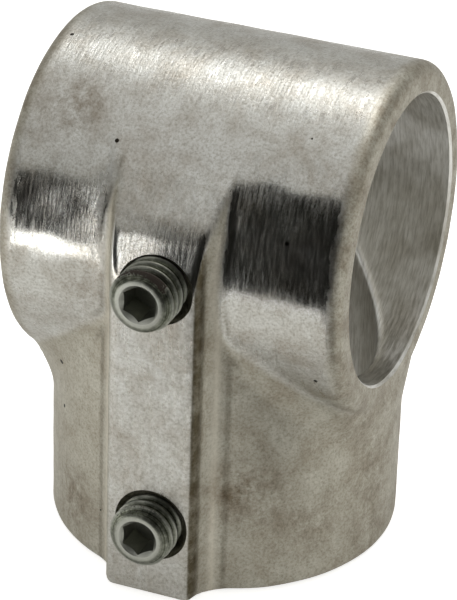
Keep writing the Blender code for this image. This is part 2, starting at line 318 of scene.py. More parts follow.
def round_bar(points, axis, centre, radius, reach, rounding):
    """The distance to a bar with rounded ends, along X (0) or Z (2), and its outward normal."""
    offset = points - centre
    along = offset[:, axis].copy()
    offset[:, axis] = 0
    radial = np.maximum(np.linalg.norm(offset, axis=1), 1e-9)
    over = radial - radius + rounding
    past = np.abs(along) - reach + rounding
    outside = np.hypot(np.maximum(over, 0), np.maximum(past, 0))
    distance = outside + np.minimum(np.maximum(over, past), 0) - rounding
    at_rim = outside > 0
    wall_share = np.where(at_rim, np.maximum(over, 0) / np.maximum(outside, 1e-9), over > past)
    end_share = np.where(at_rim, np.maximum(past, 0) / np.maximum(outside, 1e-9), over <= past)
    normal = offset * (wall_share / radial)[:, None]
    normal[:, axis] = np.sign(along) * end_share
    return distance, normal


def joined_bars(rail, post, radius):
    """Two (distance, normal) bars joined by a fillet of this rolling radius."""
    turn = 1 - (rail[1] * post[1]).sum(axis=1)
    return soft_union(rail[0], post[0], radius * turn)


foot_centre = np.zeros((1, 3))
gap = round_bar(foot_centre, 0, (0, 0, RAIL_HEIGHT), RAIL_RADIUS, RAIL_HALF, RAIL_RIM_ROUND)[0][0]
print(f"the foot's centre is {gap / MM:.1f} mm below the rail socket")

# %% The skin as a distance


def skin_layers(points):
    """The distances that make up the skin, by name."""
    x, y, z = points.T
    above = z - RAIL_HEIGHT
    rail = round_bar(points, 0, (0, 0, RAIL_HEIGHT), RAIL_RADIUS, RAIL_HALF, RAIL_RIM_ROUND)
    post = round_bar(points, 2, (0, 0, 0), POST_RADIUS, SHOULDER_TOP, SHOULDER_ROUND)
    sockets = joined_bars(rail, post, SOCKET_FILLET)
    front = -y - RIB_FRONT
    brow = above * math.sin(BROW_ANGLE) - y * math.cos(BROW_ANGLE) - RAIL_RADIUS
    face = soft_corner(front, brow, BROW_ROUND * (1 - math.cos(BROW_ANGLE)))
    lean = (y + RIB_FRONT) * math.tan(RIB_DRAFT)
    flank = (np.abs(x) - RIB_HALF_WIDTH - lean) * math.cos(RIB_DRAFT)
    rib = soft_corner(face, flank, RIB_EDGE_ROUND * (1 - math.sin(RIB_DRAFT)))
    rib = np.maximum(rib, np.maximum(y, y * math.sin(BROW_ANGLE) + above * math.cos(BROW_ANGLE)))
    skin = soft_union(sockets, rib, np.clip(sockets - face, 0, RIB_VALLEY_ROUND))
    unfilled = np.minimum(np.minimum(rail[0], post[0]), rib)
    return {"rail": rail[0], "post": post[0], "face": face, "flank": flank, "filled": unfilled - skin,
            "skin": soft_corner(skin, -z, POST_RIM_ROUND)}


def hand_waves(points):
    """Slow, shallow waves, as no hand-finished casting is quite true: 8 to 33 mm long."""
    x, y, z = points.T / MM
    waves = (np.sin(0.41 * x + 0.23 * y + 0.5) * np.sin(0.37 * z - 0.19 * x + 1.1)
             + 0.6 * np.sin(0.83 * z + 0.31 * y + 2.0) * np.sin(0.71 * x - 0.27 * z + 0.3))
    return HAND_FINISH * waves


def skin_distance(points):
    return skin_layers(points)["skin"] + hand_waves(points)


print(f"the skin waves by up to {np.abs(hand_waves(cast_points)).max() / MM:.3f} mm")

# %% [markdown]
# ## From a distance to a mesh
#
# Plain solids are joined by a voxel remesh, which gives even quads but a stepped surface.
# Each vertex then walks down the slope of the distance until it lies on the skin. Evening
# out the mesh and walking again leaves tidy faces that follow every fillet.

# %% Objects and modifiers


def new_object(name, shape, location=(0, 0, 0), rotation=(0, 0, 0)):
    """Turns a bmesh into an object in the scene."""
    bmesh.ops.recalc_face_normals(shape, faces=shape.faces)
    mesh = bpy.data.meshes.new(name)
    shape.to_mesh(mesh)
    shape.free()
    obj = bpy.data.objects.new(name, mesh)
    obj.location = location
    obj.rotation_euler = rotation
    bpy.context.scene.collection.objects.link(obj)
    return obj


def bake_modifiers(obj):
    """Puts the result of an object's modifiers in place of its mesh."""
    graph = bpy.context.evaluated_depsgraph_get()
    old = obj.data
    obj.data = bpy.data.meshes.new_from_object(obj.evaluated_get(graph))
    obj.modifiers.clear()
    bpy.data.meshes.remove(old)


BAR_SIDES = 96


def cylinder_into(shape, radius, low, high, turn=Matrix.Identity(4)):
    """Adds a closed cylinder from low to high along Z, then turned and placed by a matrix."""
    bmesh.ops.create_cone(shape, cap_ends=True, segments=BAR_SIDES, radius1=radius,
                          radius2=radius, depth=high - low,
                          matrix=turn @ Matrix.Translation((0, 0, (low + high) / 2)))


# %% Walk a mesh onto its surface


def walk(mesh, distance, steps=5, probe=2e-6):
    """Moves each vertex down the distance's slope until it lies on the surface."""
    points = np.empty(len(mesh.vertices) * 3)
    mesh.vertices.foreach_get("co", points)
    points = points.reshape(-1, 3)
    for _ in range(steps):
        slope = np.empty_like(points)
        for axis in range(3):
            aside = np.zeros(3)
            aside[axis] = probe
            slope[:, axis] = distance(points + aside) - distance(points - aside)
        slope /= 2 * probe
        # Where two slopes cancel out, the step is kept short
        steepness = np.maximum((slope * slope).sum(axis=1), 0.2)
        points -= slope * (distance(points) / steepness)[:, None]
    mesh.vertices.foreach_set("co", points.ravel())
    mesh.update()


def grow_surface(obj, distance, voxel, evening):
    """Turns an object's overlapping solids into one even mesh on the surface of a distance."""
    remesh = obj.modifiers.new("voxels", "REMESH")
    remesh.mode = "VOXEL"
    remesh.voxel_size = voxel
    bake_modifiers(obj)
    walk(obj.data, distance)
    even = obj.modifiers.new("even", "SMOOTH")
    even.iterations = evening
    bake_modifiers(obj)
    walk(obj.data, distance)


# %% Grow the skin
ALONG_RAIL = Matrix.Translation((0, 0, RAIL_HEIGHT)) @ Matrix.Rotation(math.pi / 2, 4, "Y")
SKIN_VOXEL = 0.55 * MM
shape = bmesh.new()
cylinder_into(shape, RAIL_RADIUS, -RAIL_HALF, RAIL_HALF, ALONG_RAIL)
cylinder_into(shape, POST_RADIUS, 0, RAIL_HEIGHT)
brow_low = RAIL_HEIGHT + (RAIL_RADIUS - RIB_FRONT * math.cos(BROW_ANGLE)) / math.sin(BROW_ANGLE)
brow_top = (-RAIL_RADIUS * math.cos(BROW_ANGLE), RAIL_HEIGHT + RAIL_RADIUS * math.sin(BROW_ANGLE))
rib_side = [(-RIB_FRONT, 0), (-RIB_FRONT, brow_low), brow_top, (0, RAIL_HEIGHT), (0, 0)]
side = shape.faces.new([shape.verts.new((-RIB_HALF_WIDTH, y, z)) for y, z in rib_side])
drawn = bmesh.ops.extrude_face_region(shape, geom=[side])["geom"]
bmesh.ops.translate(shape, vec=(2 * RIB_HALF_WIDTH, 0, 0),
                    verts=[item for item in drawn if isinstance(item, bmesh.types.BMVert)])
casting = new_object("tee_casting_skin", shape)
grow_surface(casting, skin_distance, SKIN_VOXEL, evening=5)
print(f"skin: {len(casting.data.vertices)} vertices")

# %% [markdown]
# ## Bores, threads and countersinks
#
# The sockets are bored after casting, so their edges are crisp, with a small break where a
# deburring tool went round. Where the post's bore runs into the rail's it leaves a ridge,
# which is also rounded over. The inside is grown like the skin and cut away in one piece.

# %% The space inside the sockets
RIDGE_ROUND = 1.2 * MM
BORE_END_ROUND = 2 * MM


def inside_distance(points):
    rail = round_bar(points, 0, (0, 0, RAIL_HEIGHT), RAIL_BORE, 2 * RAIL_HALF, 0.1 * MM)
    post = round_bar(points, 2, (0, 0, 0), POST_BORE, RAIL_HEIGHT, BORE_END_ROUND)
    return joined_bars(rail, post, RIDGE_ROUND)


shape = bmesh.new()
cylinder_into(shape, RAIL_BORE, -2 * RAIL_HALF, 2 * RAIL_HALF, ALONG_RAIL)
cylinder_into(shape, POST_BORE, -RAIL_HEIGHT, RAIL_HEIGHT)
inside = new_object("inside", shape)
grow_surface(inside, inside_distance, 1.4 * SKIN_VOXEL, evening=4)
print(f"inside: {len(inside.data.vertices)} vertices")

# %% Turned cutters


def turned(outline, segments):
    """A solid turned about Z from (radius, height) points that start and end on the axis."""
    shape = bmesh.new()
    start = math.pi / segments
    corners = [shape.verts.new((radius * math.cos(start), radius * math.sin(start), height))
               for radius, height in outline]
    edges = [shape.edges.new(pair) for pair in zip(corners, corners[1:])]
    bmesh.ops.spin(shape, geom=corners + edges, axis=(0, 0, 1), cent=(0, 0, 0), angle=math.tau,
                   steps=segments, use_merge=True)
    bmesh.ops.remove_doubles(shape, verts=shape.verts, dist=1e-7)
    return shape


# %% [markdown]
# A thread is a profile that climbs one pitch in each turn. The mesh is a grid: its columns
# stand round the axis, each a little higher than the last, and its rows follow the profile.
# The last column is the first again, one turn up.

# %% Threaded bars
MM_PER_INCH = 25.4
TURNS_PER_INCH = 16
THREAD_PITCH = MM_PER_INCH / TURNS_PER_INCH * MM
THREAD_CREST = MM_PER_INCH * 3 / 16 * MM  # half of 3/8 inch
THREAD_DEPTH = 0.6134 * THREAD_PITCH  # of a 60 degree unified thread
ROWS_PER_TURN = 12
FLANK_STEEPNESS = 1.35  # a thread's flanks are straight, so the cosine is steepened and held


def thread_rows(crest, low, high):
    """The (radius, height) points of a thread's side, from below low to above high."""
    waves = [0.5 + 0.5 * math.cos(math.tau * step / ROWS_PER_TURN) for step in range(ROWS_PER_TURN)]
    depths = [min(max(FLANK_STEEPNESS * (wave - 0.5) + 0.5, 0), 1) for wave in waves]
    turns = range(math.floor(low / THREAD_PITCH) - 1, math.ceil(high / THREAD_PITCH) + 1)
    return [(crest - THREAD_DEPTH * (1 - depth), (turn + step / ROWS_PER_TURN) * THREAD_PITCH)
            for turn in turns for step, depth in enumerate(depths)]


def threaded_bar(crest, low, high, segments):
    """A right-hand thread about Z, with rounded crests and roots, and a crest at angle 0, height 0."""
    rows = thread_rows(crest, low, high)
    shape = bmesh.new()
    columns = []
    for step in range(segments):
        angle = math.tau * step / segments
        climb = THREAD_PITCH * step / segments
        columns.append([
            shape.verts.new((radius * math.cos(angle), radius * math.sin(angle), height + climb))
            for radius, height in rows
        ])
    columns.append(columns[0][ROWS_PER_TURN:])
    for left, right_column in zip(columns, columns[1:]):
        for a, b, c, d in zip(left, left[1:], right_column[1:], right_column):
            shape.faces.new((a, b, c, d))
    halfway = (low + high) / 2
    for below in (True, False):
        end = [e for e in shape.edges if e.is_boundary and (e.verts[0].co.z < halfway) == below]
        drawn = bmesh.ops.extrude_edge_only(shape, edges=end)["geom"]
        corners = [item for item in drawn if isinstance(item, bmesh.types.BMVert)]
        height = sum(corner.co.z for corner in corners) / len(corners)
        bmesh.ops.pointmerge(shape, verts=corners, merge_co=(0, 0, height))
    return shape


print(f"thread: {2 * THREAD_CREST / MM:.3f} mm across its crests, {THREAD_PITCH / MM:.4f} mm a turn")

# %% Cuts


def hole_place(height):
    """Location and rotation with local Z into the rib, from its front face at this height."""
    return (0, -RIB_FRONT, height), (-math.pi / 2, 0, 0)


def cut(obj, cutter, operation="DIFFERENCE"):
    """Cuts obj with a cutter, whose faces keep their own material, and removes the cutter."""
    modifier = obj.modifiers.new(cutter.name, "BOOLEAN")
    modifier.object = cutter
    modifier.operation = operation
    modifier.solver = "EXACT"
    modifier.material_mode = "TRANSFER"
    bake_modifiers(obj)
    bpy.data.objects.remove(cutter)


print(f"the holes start {RIB_FRONT / MM:.1f} mm in front of the post's axis")

# %% [markdown]
# ## Finish: tumbled cast aluminium
#
# Cast aluminium, tumbled in a drum of abrasive stones. The stones round every edge and leave
# a satin face with short scratches, bright where they reach and dull grey-beige in the
# hollows. Grime stays in the pores of the sand casting, as small dark pits. To the eye that
# gives soft reflections with frayed edges, brown-grey clouds and a salt-and-pepper grain.
#
# It is built from the metal outwards, as on the real part: first the metal's own colour, then dirt, then how
# smooth the stones left it, and last the relief that can be felt. A painted pale reflection in the fillets beside
# the rib and painted shade along the creases go in with the colour and the dirt. Four marks on the mesh, which are
# made further down, say where each layer applies.

# %% Places in millimetres


def position_in_mm(tree):
    """Places on the part in millimetres, so that a pattern's scale is one over its size."""
    where = add(tree, "ShaderNodeTexCoord")
    return add(tree, "ShaderNodeVectorMath", {0: where.outputs["Object"]},
               {3: 1 / MM}, operation="SCALE")


def unrolled_in_mm(tree, millimetres):
    """The rail socket's surface unrolled: X along the rail and Y round it."""
    parts = add(tree, "ShaderNodeSeparateXYZ", {0: millimetres})
    forward = add(tree, "ShaderNodeMath", {0: parts.outputs["Y"]}, {1: -1.0}, operation="MULTIPLY")
    above = add(tree, "ShaderNodeMath", {0: parts.outputs["Z"]}, {1: RAIL_HEIGHT / MM},
                operation="SUBTRACT")
    angle = add(tree, "ShaderNodeMath", {0: above, 1: forward}, operation="ARCTAN2")
    around = add(tree, "ShaderNodeMath", {0: angle}, {1: RAIL_RADIUS / MM}, operation="MULTIPLY")
    return add(tree, "ShaderNodeCombineXYZ", {"X": parts.outputs["X"], "Y": around})


tumbled, tree, shader = new_finish("tumbled_cast_aluminium")
shader.inputs["Metallic"].default_value = 1.0
mm = position_in_mm(tree)
unrolled = unrolled_in_mm(tree, mm)
polish = add(tree, "ShaderNodeAttribute", attribute_name="polish").outputs["Fac"]
valley_sheen = add(tree, "ShaderNodeAttribute", attribute_name="valley_sheen").outputs["Fac"]
stain = add(tree, "ShaderNodeAttribute", attribute_name="stain").outputs["Fac"]
crease_shade = add(tree, "ShaderNodeAttribute", attribute_name="crease_shade").outputs["Fac"]
print(f"the rail socket unrolls to {math.tau * RAIL_RADIUS / MM:.0f} mm round")

# %% Tumbled aluminium: the metal's colour and a painted reflection
# Brown-grey clouds, some 6 mm across
clouds = add(tree, "ShaderNodeTexNoise", {"Vector": mm},
             {"Scale": 0.17, "Detail": 6.0, "Roughness": 0.66, "Distortion": 0.4})
cloud_colour = add(tree, "ShaderNodeValToRGB", {0: clouds},
                   stops=[(0.32, "#BDB8AF"), (0.46, "#CCCAC4"), (0.60, "#DADAD6")])
# Salt-and-pepper grain of the sand, 0.4 mm
grain = add(tree, "ShaderNodeTexNoise", {"Vector": mm},
            {"Scale": 2.4, "Detail": 4.0, "Roughness": 0.75})
grain_shade = add(tree, "ShaderNodeValToRGB", {0: grain},
                  stops=[(0.32, "#CBC8C1"), (0.52, "#F2F1EE"), (0.68, "#FFFFFF")])
grained = add(tree, "ShaderNodeMix", {6: cloud_colour, 7: grain_shade}, {0: 1.0},
              data_type="RGBA", blend_type="MULTIPLY")
# Where the stones rub less the metal keeps a grey-beige film of oxide
unpolished = add(tree, "ShaderNodeMapRange", {"Value": polish},
                 {"From Min": 0.0, "From Max": 0.35, "To Min": 0.8, "To Max": 0.0})
filmed = add(tree, "ShaderNodeMix", {0: unpolished, 6: grained.outputs[2]},
             {7: linear("#E8E4D8")}, data_type="RGBA", blend_type="MULTIPLY")
# Painted reflection: the fillets beside the rib are painted pale, for the light sliver that they reflect
pale = add(tree, "ShaderNodeMix", {0: valley_sheen, 6: filmed.outputs[2]}, {7: linear("#F1EBDB")},
           data_type="RGBA")
print("colour:", len(tree.nodes), "nodes so far")

# %% Tumbled aluminium: stains, painted shade and pits
# Brown stains, broken up at 2.5 mm, where oil baked on
blots = add(tree, "ShaderNodeTexNoise", {"Vector": mm},
            {"Scale": 0.4, "Detail": 6.0, "Roughness": 0.72})
stain_spread = add(tree, "ShaderNodeMapRange", {"Value": blots}, {"From Min": 0.36, "From Max": 0.66})
in_stain = add(tree, "ShaderNodeMath", {0: stain_spread, 1: stain}, operation="MULTIPLY")
stained = add(tree, "ShaderNodeMix", {0: in_stain, 6: pale.outputs[2]}, {7: linear("#A89A8A")},
              data_type="RGBA", blend_type="MULTIPLY")
# Painted shade: dark lines along the creases where the rib and the sockets meet, and on the rib's right flank,
# broken up by the blots
crease_shade_spread = add(tree, "ShaderNodeMapRange", {"Value": blots}, {"From Min": 0.0, "From Max": 0.55})
in_crease_shade = add(tree, "ShaderNodeMath", {0: crease_shade_spread, 1: crease_shade}, operation="MULTIPLY")
crease_shaded = add(tree, "ShaderNodeMix", {0: in_crease_shade, 6: stained.outputs[2]}, {7: linear("#8A8373")},
             data_type="RGBA", blend_type="MULTIPLY")
# Pits: one in five cells of a 4.5 mm network holds a dark pore 0.3 to 0.9 mm across
cells = add(tree, "ShaderNodeTexVoronoi", {"Vector": mm}, {"Scale": 1 / 4.5})
chosen = add(tree, "ShaderNodeSeparateColor", {0: cells.outputs["Color"]})
holds_pit = add(tree, "ShaderNodeMath", {0: chosen}, {1: 0.78}, operation="GREATER_THAN")
pit_size = add(tree, "ShaderNodeMath", {0: chosen.outputs[1]}, {1: 0.06, 2: 0.035},
               operation="MULTIPLY_ADD")
in_pit = add(tree, "ShaderNodeMath", {0: cells.outputs["Distance"], 1: pit_size},
             operation="LESS_THAN")
pit = add(tree, "ShaderNodeMath", {0: in_pit, 1: holds_pit}, operation="MULTIPLY")
pitted = add(tree, "ShaderNodeMix", {0: pit, 6: crease_shaded.outputs[2]}, {7: linear("#2E2A24")},
             data_type="RGBA")
tree.links.new(pitted.outputs[2], shader.inputs["Base Color"])
print("dirt:", len(tree.nodes), "nodes so far")

# %% Tumbled aluminium: scratches and polish
# Scratches run across the rail, leaning over, as it turned in the drum: 0.4 mm wide, 3 mm long
scratch_place = add(tree, "ShaderNodeMapping", {"Vector": unrolled},
                    {"Rotation": (0, 0, math.radians(28)), "Scale": (1.0, 0.14, 1.0)})
scratches = add(tree, "ShaderNodeTexNoise", {"Vector": scratch_place},
                {"Scale": 2.4, "Detail": 3.0, "Roughness": 0.6})
# The stones polish in strokes, 1 mm wide and 3 mm long round the rail, so the polish frays
stroke_place = add(tree, "ShaderNodeMapping", {"Vector": unrolled},
                   {"Rotation": (0, 0, math.radians(8)), "Scale": (1.0, 0.36, 1.0)})
strokes = add(tree, "ShaderNodeTexNoise", {"Vector": stroke_place},
              {"Scale": 0.85, "Detail": 5.0, "Roughness": 0.6})
reach = add(tree, "ShaderNodeMath", {0: strokes, 2: polish}, {1: 1.3}, operation="MULTIPLY_ADD")
frayed = add(tree, "ShaderNodeMapRange", {"Value": reach}, {"From Min": 0.98, "From Max": 1.32},
             interpolation_type="SMOOTHSTEP")
# Satin or dull where the stones only brushed, near a mirror where they rubbed hardest
dull = add(tree, "ShaderNodeMapRange", {"Value": polish},
           {"From Min": 0.0, "From Max": 0.35, "To Min": 0.42, "To Max": 0.30})
smooth = add(tree, "ShaderNodeMix", {0: frayed, 2: dull}, {3: 0.12})
streaks = add(tree, "ShaderNodeMapRange", {"Value": scratches}, {"From Min": 0.35, "From Max": 0.70})
roughness = add(tree, "ShaderNodeMath", {0: streaks, 2: smooth}, {1: 0.12}, operation="MULTIPLY_ADD")
tree.links.new(roughness.outputs[0], shader.inputs["Roughness"])
print("polish:", len(tree.nodes), "nodes so far")

# %% Tumbled aluminium: relief
# Shallow dents 1 mm across, scratches, the grain of the sand and the pits
dents = add(tree, "ShaderNodeTexNoise", {"Vector": mm},
            {"Scale": 0.9, "Detail": 4.0, "Roughness": 0.6})
scratched = add(tree, "ShaderNodeMath", {0: scratches, 2: dents}, {1: 2.3}, operation="MULTIPLY_ADD")
sanded = add(tree, "ShaderNodeMath", {0: grain, 2: scratched}, {1: 1.1}, operation="MULTIPLY_ADD")
with_pits = add(tree, "ShaderNodeMath", {0: sanded, 1: pit}, operation="SUBTRACT")
# Polishing takes most of the relief away
kept = add(tree, "ShaderNodeMapRange", {"Value": frayed}, {"To Min": 1.0, "To Max": 0.16})
bump = add(tree, "ShaderNodeBump", {"Height": with_pits, "Strength": kept}, {"Distance": 0.026 * MM})
tree.links.new(bump.outputs[0], shader.inputs["Normal"])
print("tumbled aluminium:", len(tree.nodes), "nodes")

# %% [markdown]
# ## Finish: bored aluminium
#
# The same metal, cut by a boring bar. The tool leaves fine rings round the bore and bands
# where it chattered, so the wall is brighter and more even than the skin. Real rings are
# 0.1 mm apart, too fine to show, so they are drawn at 0.3 mm.

# %% Bored aluminium
bored, tree, shader = new_finish("bored_aluminium")
mm = position_in_mm(tree)
ring_place = add(tree, "ShaderNodeMapping", {"Vector": mm}, {"Scale": (3.0, 0.35, 0.35)})
rings = add(tree, "ShaderNodeTexNoise", {"Vector": ring_place},
            {"Scale": 1.0, "Detail": 4.0, "Roughness": 0.65})
ring_shade = add(tree, "ShaderNodeValToRGB", {0: rings},
                 stops=[(0.35, "#D9D8D4"), (0.60, "#FFFFFF")])
# Chatter bands, some 6 mm wide
bands = add(tree, "ShaderNodeTexNoise", {"Vector": mm}, {"Scale": 0.16, "Detail": 3.0})
tone = add(tree, "ShaderNodeValToRGB", {0: bands}, stops=[(0.38, "#D9D6CE"), (0.58, "#F6F5F1")])
shaded = add(tree, "ShaderNodeMix", {6: tone, 7: ring_shade}, {0: 1.0}, data_type="RGBA",
             blend_type="MULTIPLY")
tree.links.new(shaded.outputs[2], shader.inputs["Base Color"])
shader.inputs["Metallic"].default_value = 1.0
rough = add(tree, "ShaderNodeMapRange", {"Value": rings},
            {"From Min": 0.30, "From Max": 0.70, "To Min": 0.28, "To Max": 0.44})
tree.links.new(rough.outputs[0], shader.inputs["Roughness"])
bump = add(tree, "ShaderNodeBump", {"Height": rings}, {"Strength": 1.0, "Distance": 0.015 * MM})
tree.links.new(bump.outputs[0], shader.inputs["Normal"])
print("bored aluminium:", len(tree.nodes), "nodes")

# %% [markdown]
# ## Finish: countersink with painted shade
#
# Each tapped hole was opened with a hand-held countersink, which left it a little off centre. It is painted a dull
# olive-black: painted shade for the dark recess round each screw.

# %% Countersink: painted shade
shadowed, tree, shader = new_finish("shaded_countersunk_aluminium")
mm = position_in_mm(tree)
# The painted shade is broken up in clots 1 mm across
shade_clots = add(tree, "ShaderNodeTexNoise", {"Vector": mm},
           {"Scale": 1.1, "Detail": 5.0, "Roughness": 0.7})
recess_shade = add(tree, "ShaderNodeValToRGB", {0: shade_clots},
          stops=[(0.35, "#5E5B4E"), (0.50, "#85816F"), (0.66, "#B0AB99")])
tree.links.new(recess_shade.outputs[0], shader.inputs["Base Color"])
shader.inputs["Metallic"].default_value = 1.0
rough = add(tree, "ShaderNodeMapRange", {"Value": shade_clots}, {"To Min": 0.55, "To Max": 0.35})
tree.links.new(rough.outputs[0], shader.inputs["Roughness"])
bump = add(tree, "ShaderNodeBump", {"Height": shade_clots}, {"Distance": 0.03 * MM})
tree.links.new(bump.outputs[0], shader.inputs["Normal"])
print("grimy countersink:", len(tree.nodes), "nodes")

# %% [markdown]
# ## Machine the casting
#
# The cuts come in the order of the workshop: bore both sockets, break the edges of the
# three mouths, then drill, tap and countersink the two holes. A cut face keeps the finish
# of its cutter, so each tool leaves its own metal behind.

# %% Bore the sockets and break their edges
EDGE_BREAK = 0.35 * MM
MOUTH_SIDES = 144
PAST = 4 * MM  # how far a cutter runs past what it cuts
casting.data.materials.append(tumbled)
inside.data.materials.append(bored)
cut(casting, inside)
mouths = [
    (RAIL_BORE, (-RAIL_HALF, 0, RAIL_HEIGHT), (0, math.pi / 2, 0)),
    (RAIL_BORE, (RAIL_HALF, 0, RAIL_HEIGHT), (0, -math.pi / 2, 0)),
    (POST_BORE, (0, 0, 0), (0, 0, 0)),
]
for bore, location, rotation in mouths:
    outline = [(0, -PAST), (bore + PAST + EDGE_BREAK, -PAST), (bore + EDGE_BREAK, 0),
               (bore - EDGE_BREAK, 2 * EDGE_BREAK), (0, 2 * EDGE_BREAK)]
    edge_break = new_object("edge_break", turned(outline, MOUTH_SIDES), location, rotation)
    edge_break.data.materials.append(bored)
    cut(casting, edge_break)
print(f"bored casting: {len(casting.data.vertices)} vertices")

# %% Tap and countersink the holes
THREAD_CLEARANCE = 0.2 * MM
TAP_SIDES = 60
CONE_SIDES = 96
COUNTERSINK_RADIUS = THREAD_CREST + 0.9 * MM
COUNTERSINK_ASIDE = Vector((0.55, 0, 0.6)) * MM
for height in (RAIL_HEIGHT, POST_SCREW_HEIGHT):
    place = hole_place(height)
    tap = threaded_bar(THREAD_CREST + THREAD_CLEARANCE, -PAST, RIB_FRONT - RAIL_BORE + PAST,
                       TAP_SIDES)
    hole = new_object("tapped_hole", tap, *place)
    hole.data.materials.append(bored)
    cut(casting, hole)
    cone = new_object("countersink", turned(
        [(0, -PAST), (COUNTERSINK_RADIUS + PAST, -PAST), (0, COUNTERSINK_RADIUS)], CONE_SIDES),
        *place)
    cone.location += COUNTERSINK_ASIDE
    # Each countersink takes the painted-shade finish
    cone.data.materials.append(shadowed)
    cut(casting, cone)
print(f"casting: {len(casting.data.vertices)} vertices, {len(casting.data.polygons)} faces")

# %% [markdown]
# ## Say where the stones reached
#
# Tumbling is uneven. It polishes what stands proud, misses the hollows, and was hardest in
# a band along the rail socket's front and on the rib. Painting that by hand would be slow
# and could not be repeated. The skin's own distances already know what is proud and what is
# hollow, so each mark is a formula of them, kept as a number from 0 to 1 on every vertex.

# %% Steps and marks


def smooth_step(low, high, value):
    """0 at low and before it, 1 at high and past it, and an even slope between."""
    share = np.clip((value - low) / (high - low), 0, 1)
    return share * share * (3 - 2 * share)


def mark(mesh, name, values):
    layer = mesh.attributes.new(name, "FLOAT", "POINT")
    layer.data.foreach_set("value", values.astype(np.float32))


points = np.empty(len(casting.data.vertices) * 3)
casting.data.vertices.foreach_get("co", points)
points = points.reshape(-1, 3)
x, y, z = points.T / MM
above = z - RAIL_HEIGHT / MM
angle = np.degrees(np.arctan2(above, -y))
layers = {name: distance / MM for name, distance in skin_layers(points).items()}
print(f"filled corners: up to {layers['filled'].max():.2f} mm of metal")

# %% Where the stones polished
# All in millimetres, and degrees above level round the rail socket's front
on_rail = smooth_step(0.5, 0.1, np.abs(layers["rail"]))
side_band = smooth_step(50, 26, angle) * smooth_step(-22, -8, angle)
right_band = smooth_step(8, 10, x)
left_band = smooth_step(-9, -14, x) * smooth_step(-25, -21, x)
on_rib = smooth_step(0.5, 0.1, np.abs(layers["face"])) * smooth_step(0.6, -0.7, layers["flank"])
rib_top = smooth_step(-0.3, 2.7, above) * smooth_step(9.7, 6.7, above)
polished = 0.35 * on_rail + 0.65 * side_band * (right_band + left_band) * on_rail
polished = polished + (0.40 + 0.6 * rib_top) * on_rib
# No stone gets into a hollow, but the rubbing went over the rib's right shoulder
hollow = smooth_step(0.1, 0.8, layers["filled"])
hollow = hollow * (1 - smooth_step(7.2, 9.2, above) * (x > 0))
rim = smooth_step(RAIL_HALF / MM - 3.2, RAIL_HALF / MM - 0.8, np.abs(x))
polished = np.clip(polished * (1 - hollow) * (1 - rim), 0, 1)
mark(casting.data, "polish", polished)
print(f"polish: {polished.mean():.2f} on average")

# %% Where stains stayed, and where a reflection and shade are painted


def blob(centre, size):
    """1 at a centre, falling to 0 at this distance from it, in millimetres."""
    return smooth_step(size, 0, np.linalg.norm(points / MM - np.array(centre), axis=1))


in_front = smooth_step(0, -5, y)
aside = np.abs(x)
# The fillets beside the rib, painted pale as a painted reflection
mark(casting.data, "valley_sheen", 0.55 * hollow * smooth_step(12.5, 10, aside) * in_front)
stains = (blob((-18, -17, 70), 9) + blob((12, -23, 17), 10) + blob((-16, -21, 8), 9)
          + 0.7 * blob((20, -17, 10), 9) + 0.6 * blob((-12, -25, 46), 6) + 0.6 * rim)
mark(casting.data, "stain", np.clip(stains, 0, 1))
# Painted shade along the edges of the fillets beside the rib
crease_lines = smooth_step(0.005, 0.03, layers["filled"]) * smooth_step(0.2, 0.06, layers["filled"])
crease_lines = crease_lines * smooth_step(12, 10.5, aside) * smooth_step(7.8, 8.6, aside) * in_front
# The rib's right flank gets the same painted shade, at full strength
right_flank = smooth_step(0.5, 0.25, np.abs(layers["flank"])) * (x > 0) * smooth_step(27.3, 28.3, -y)
mark(casting.data, "crease_shade", np.maximum(0.45 * crease_lines, right_flank))
print(f"stained vertices: {(stains > 0.1).mean():.0%}")

# %% Shade the casting and hand it over
CRISP_FROM = math.radians(30)  # a machined edge that bends less than this is shaded smooth
casting.data.shade_smooth()
# Only the machined edges are crisp; the tumbled skin is smooth all over
shape = bmesh.new()
shape.from_mesh(casting.data)
for edge in shape.edges:
    cast_sides = sum(face.material_index == 0 for face in edge.link_faces)
    edge.smooth = cast_sides == 2 or edge.calc_face_angle(0) < CRISP_FROM
crisp = sum(not edge.smooth for edge in shape.edges)
shape.to_mesh(casting.data)
shape.free()
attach(casting, "casting")
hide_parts("tee_casting")
print("crisp edges:", crisp)

# %% [markdown]
# ## Finish: zinc-plated steel
#
# The screws are alloy steel with a thin zinc plating that has gone dull and olive-grey. Oil
# and swarf sit in the threads. To the eye that gives a dark, greenish metal with pale,
# rubbed edges. As on the casting, marks on the mesh say where it is rubbed or dirty.

# %% Plated steel: plating and wear
plated, tree, shader = new_finish("dull_plated_steel")
mm = position_in_mm(tree)
worn = add(tree, "ShaderNodeAttribute", attribute_name="worn").outputs["Fac"]
across = add(tree, "ShaderNodeAttribute", attribute_name="across").outputs["Fac"]
grime = add(tree, "ShaderNodeAttribute", attribute_name="grime").outputs["Fac"]
# Blotches in the plating, 0.8 mm across
blotches = add(tree, "ShaderNodeTexNoise", {"Vector": mm},
               {"Scale": 1.2, "Detail": 6.0, "Roughness": 0.75})
plating = add(tree, "ShaderNodeValToRGB", {0: blotches},
              stops=[(0.35, "#55574C"), (0.50, "#7C7F72"), (0.64, "#A3A598")])
# The lathe left rings 0.25 mm apart, dark where dirt fills them
ring_place = add(tree, "ShaderNodeCombineXYZ", {"X": across})
rings = add(tree, "ShaderNodeTexNoise", {"Vector": ring_place}, {"Scale": 4.0, "Detail": 1.0})
ring_shade = add(tree, "ShaderNodeValToRGB", {0: rings},
                 stops=[(0.38, "#A6A79C"), (0.56, "#FFFFFF")])
ringed = add(tree, "ShaderNodeMix", {6: plating, 7: ring_shade}, {0: 1.0}, data_type="RGBA",
             blend_type="MULTIPLY")
rubbed = add(tree, "ShaderNodeMix", {0: worn, 6: ringed.outputs[2]}, {7: linear("#C4C5BC")},
             data_type="RGBA")
print("plating:", len(tree.nodes), "nodes so far")

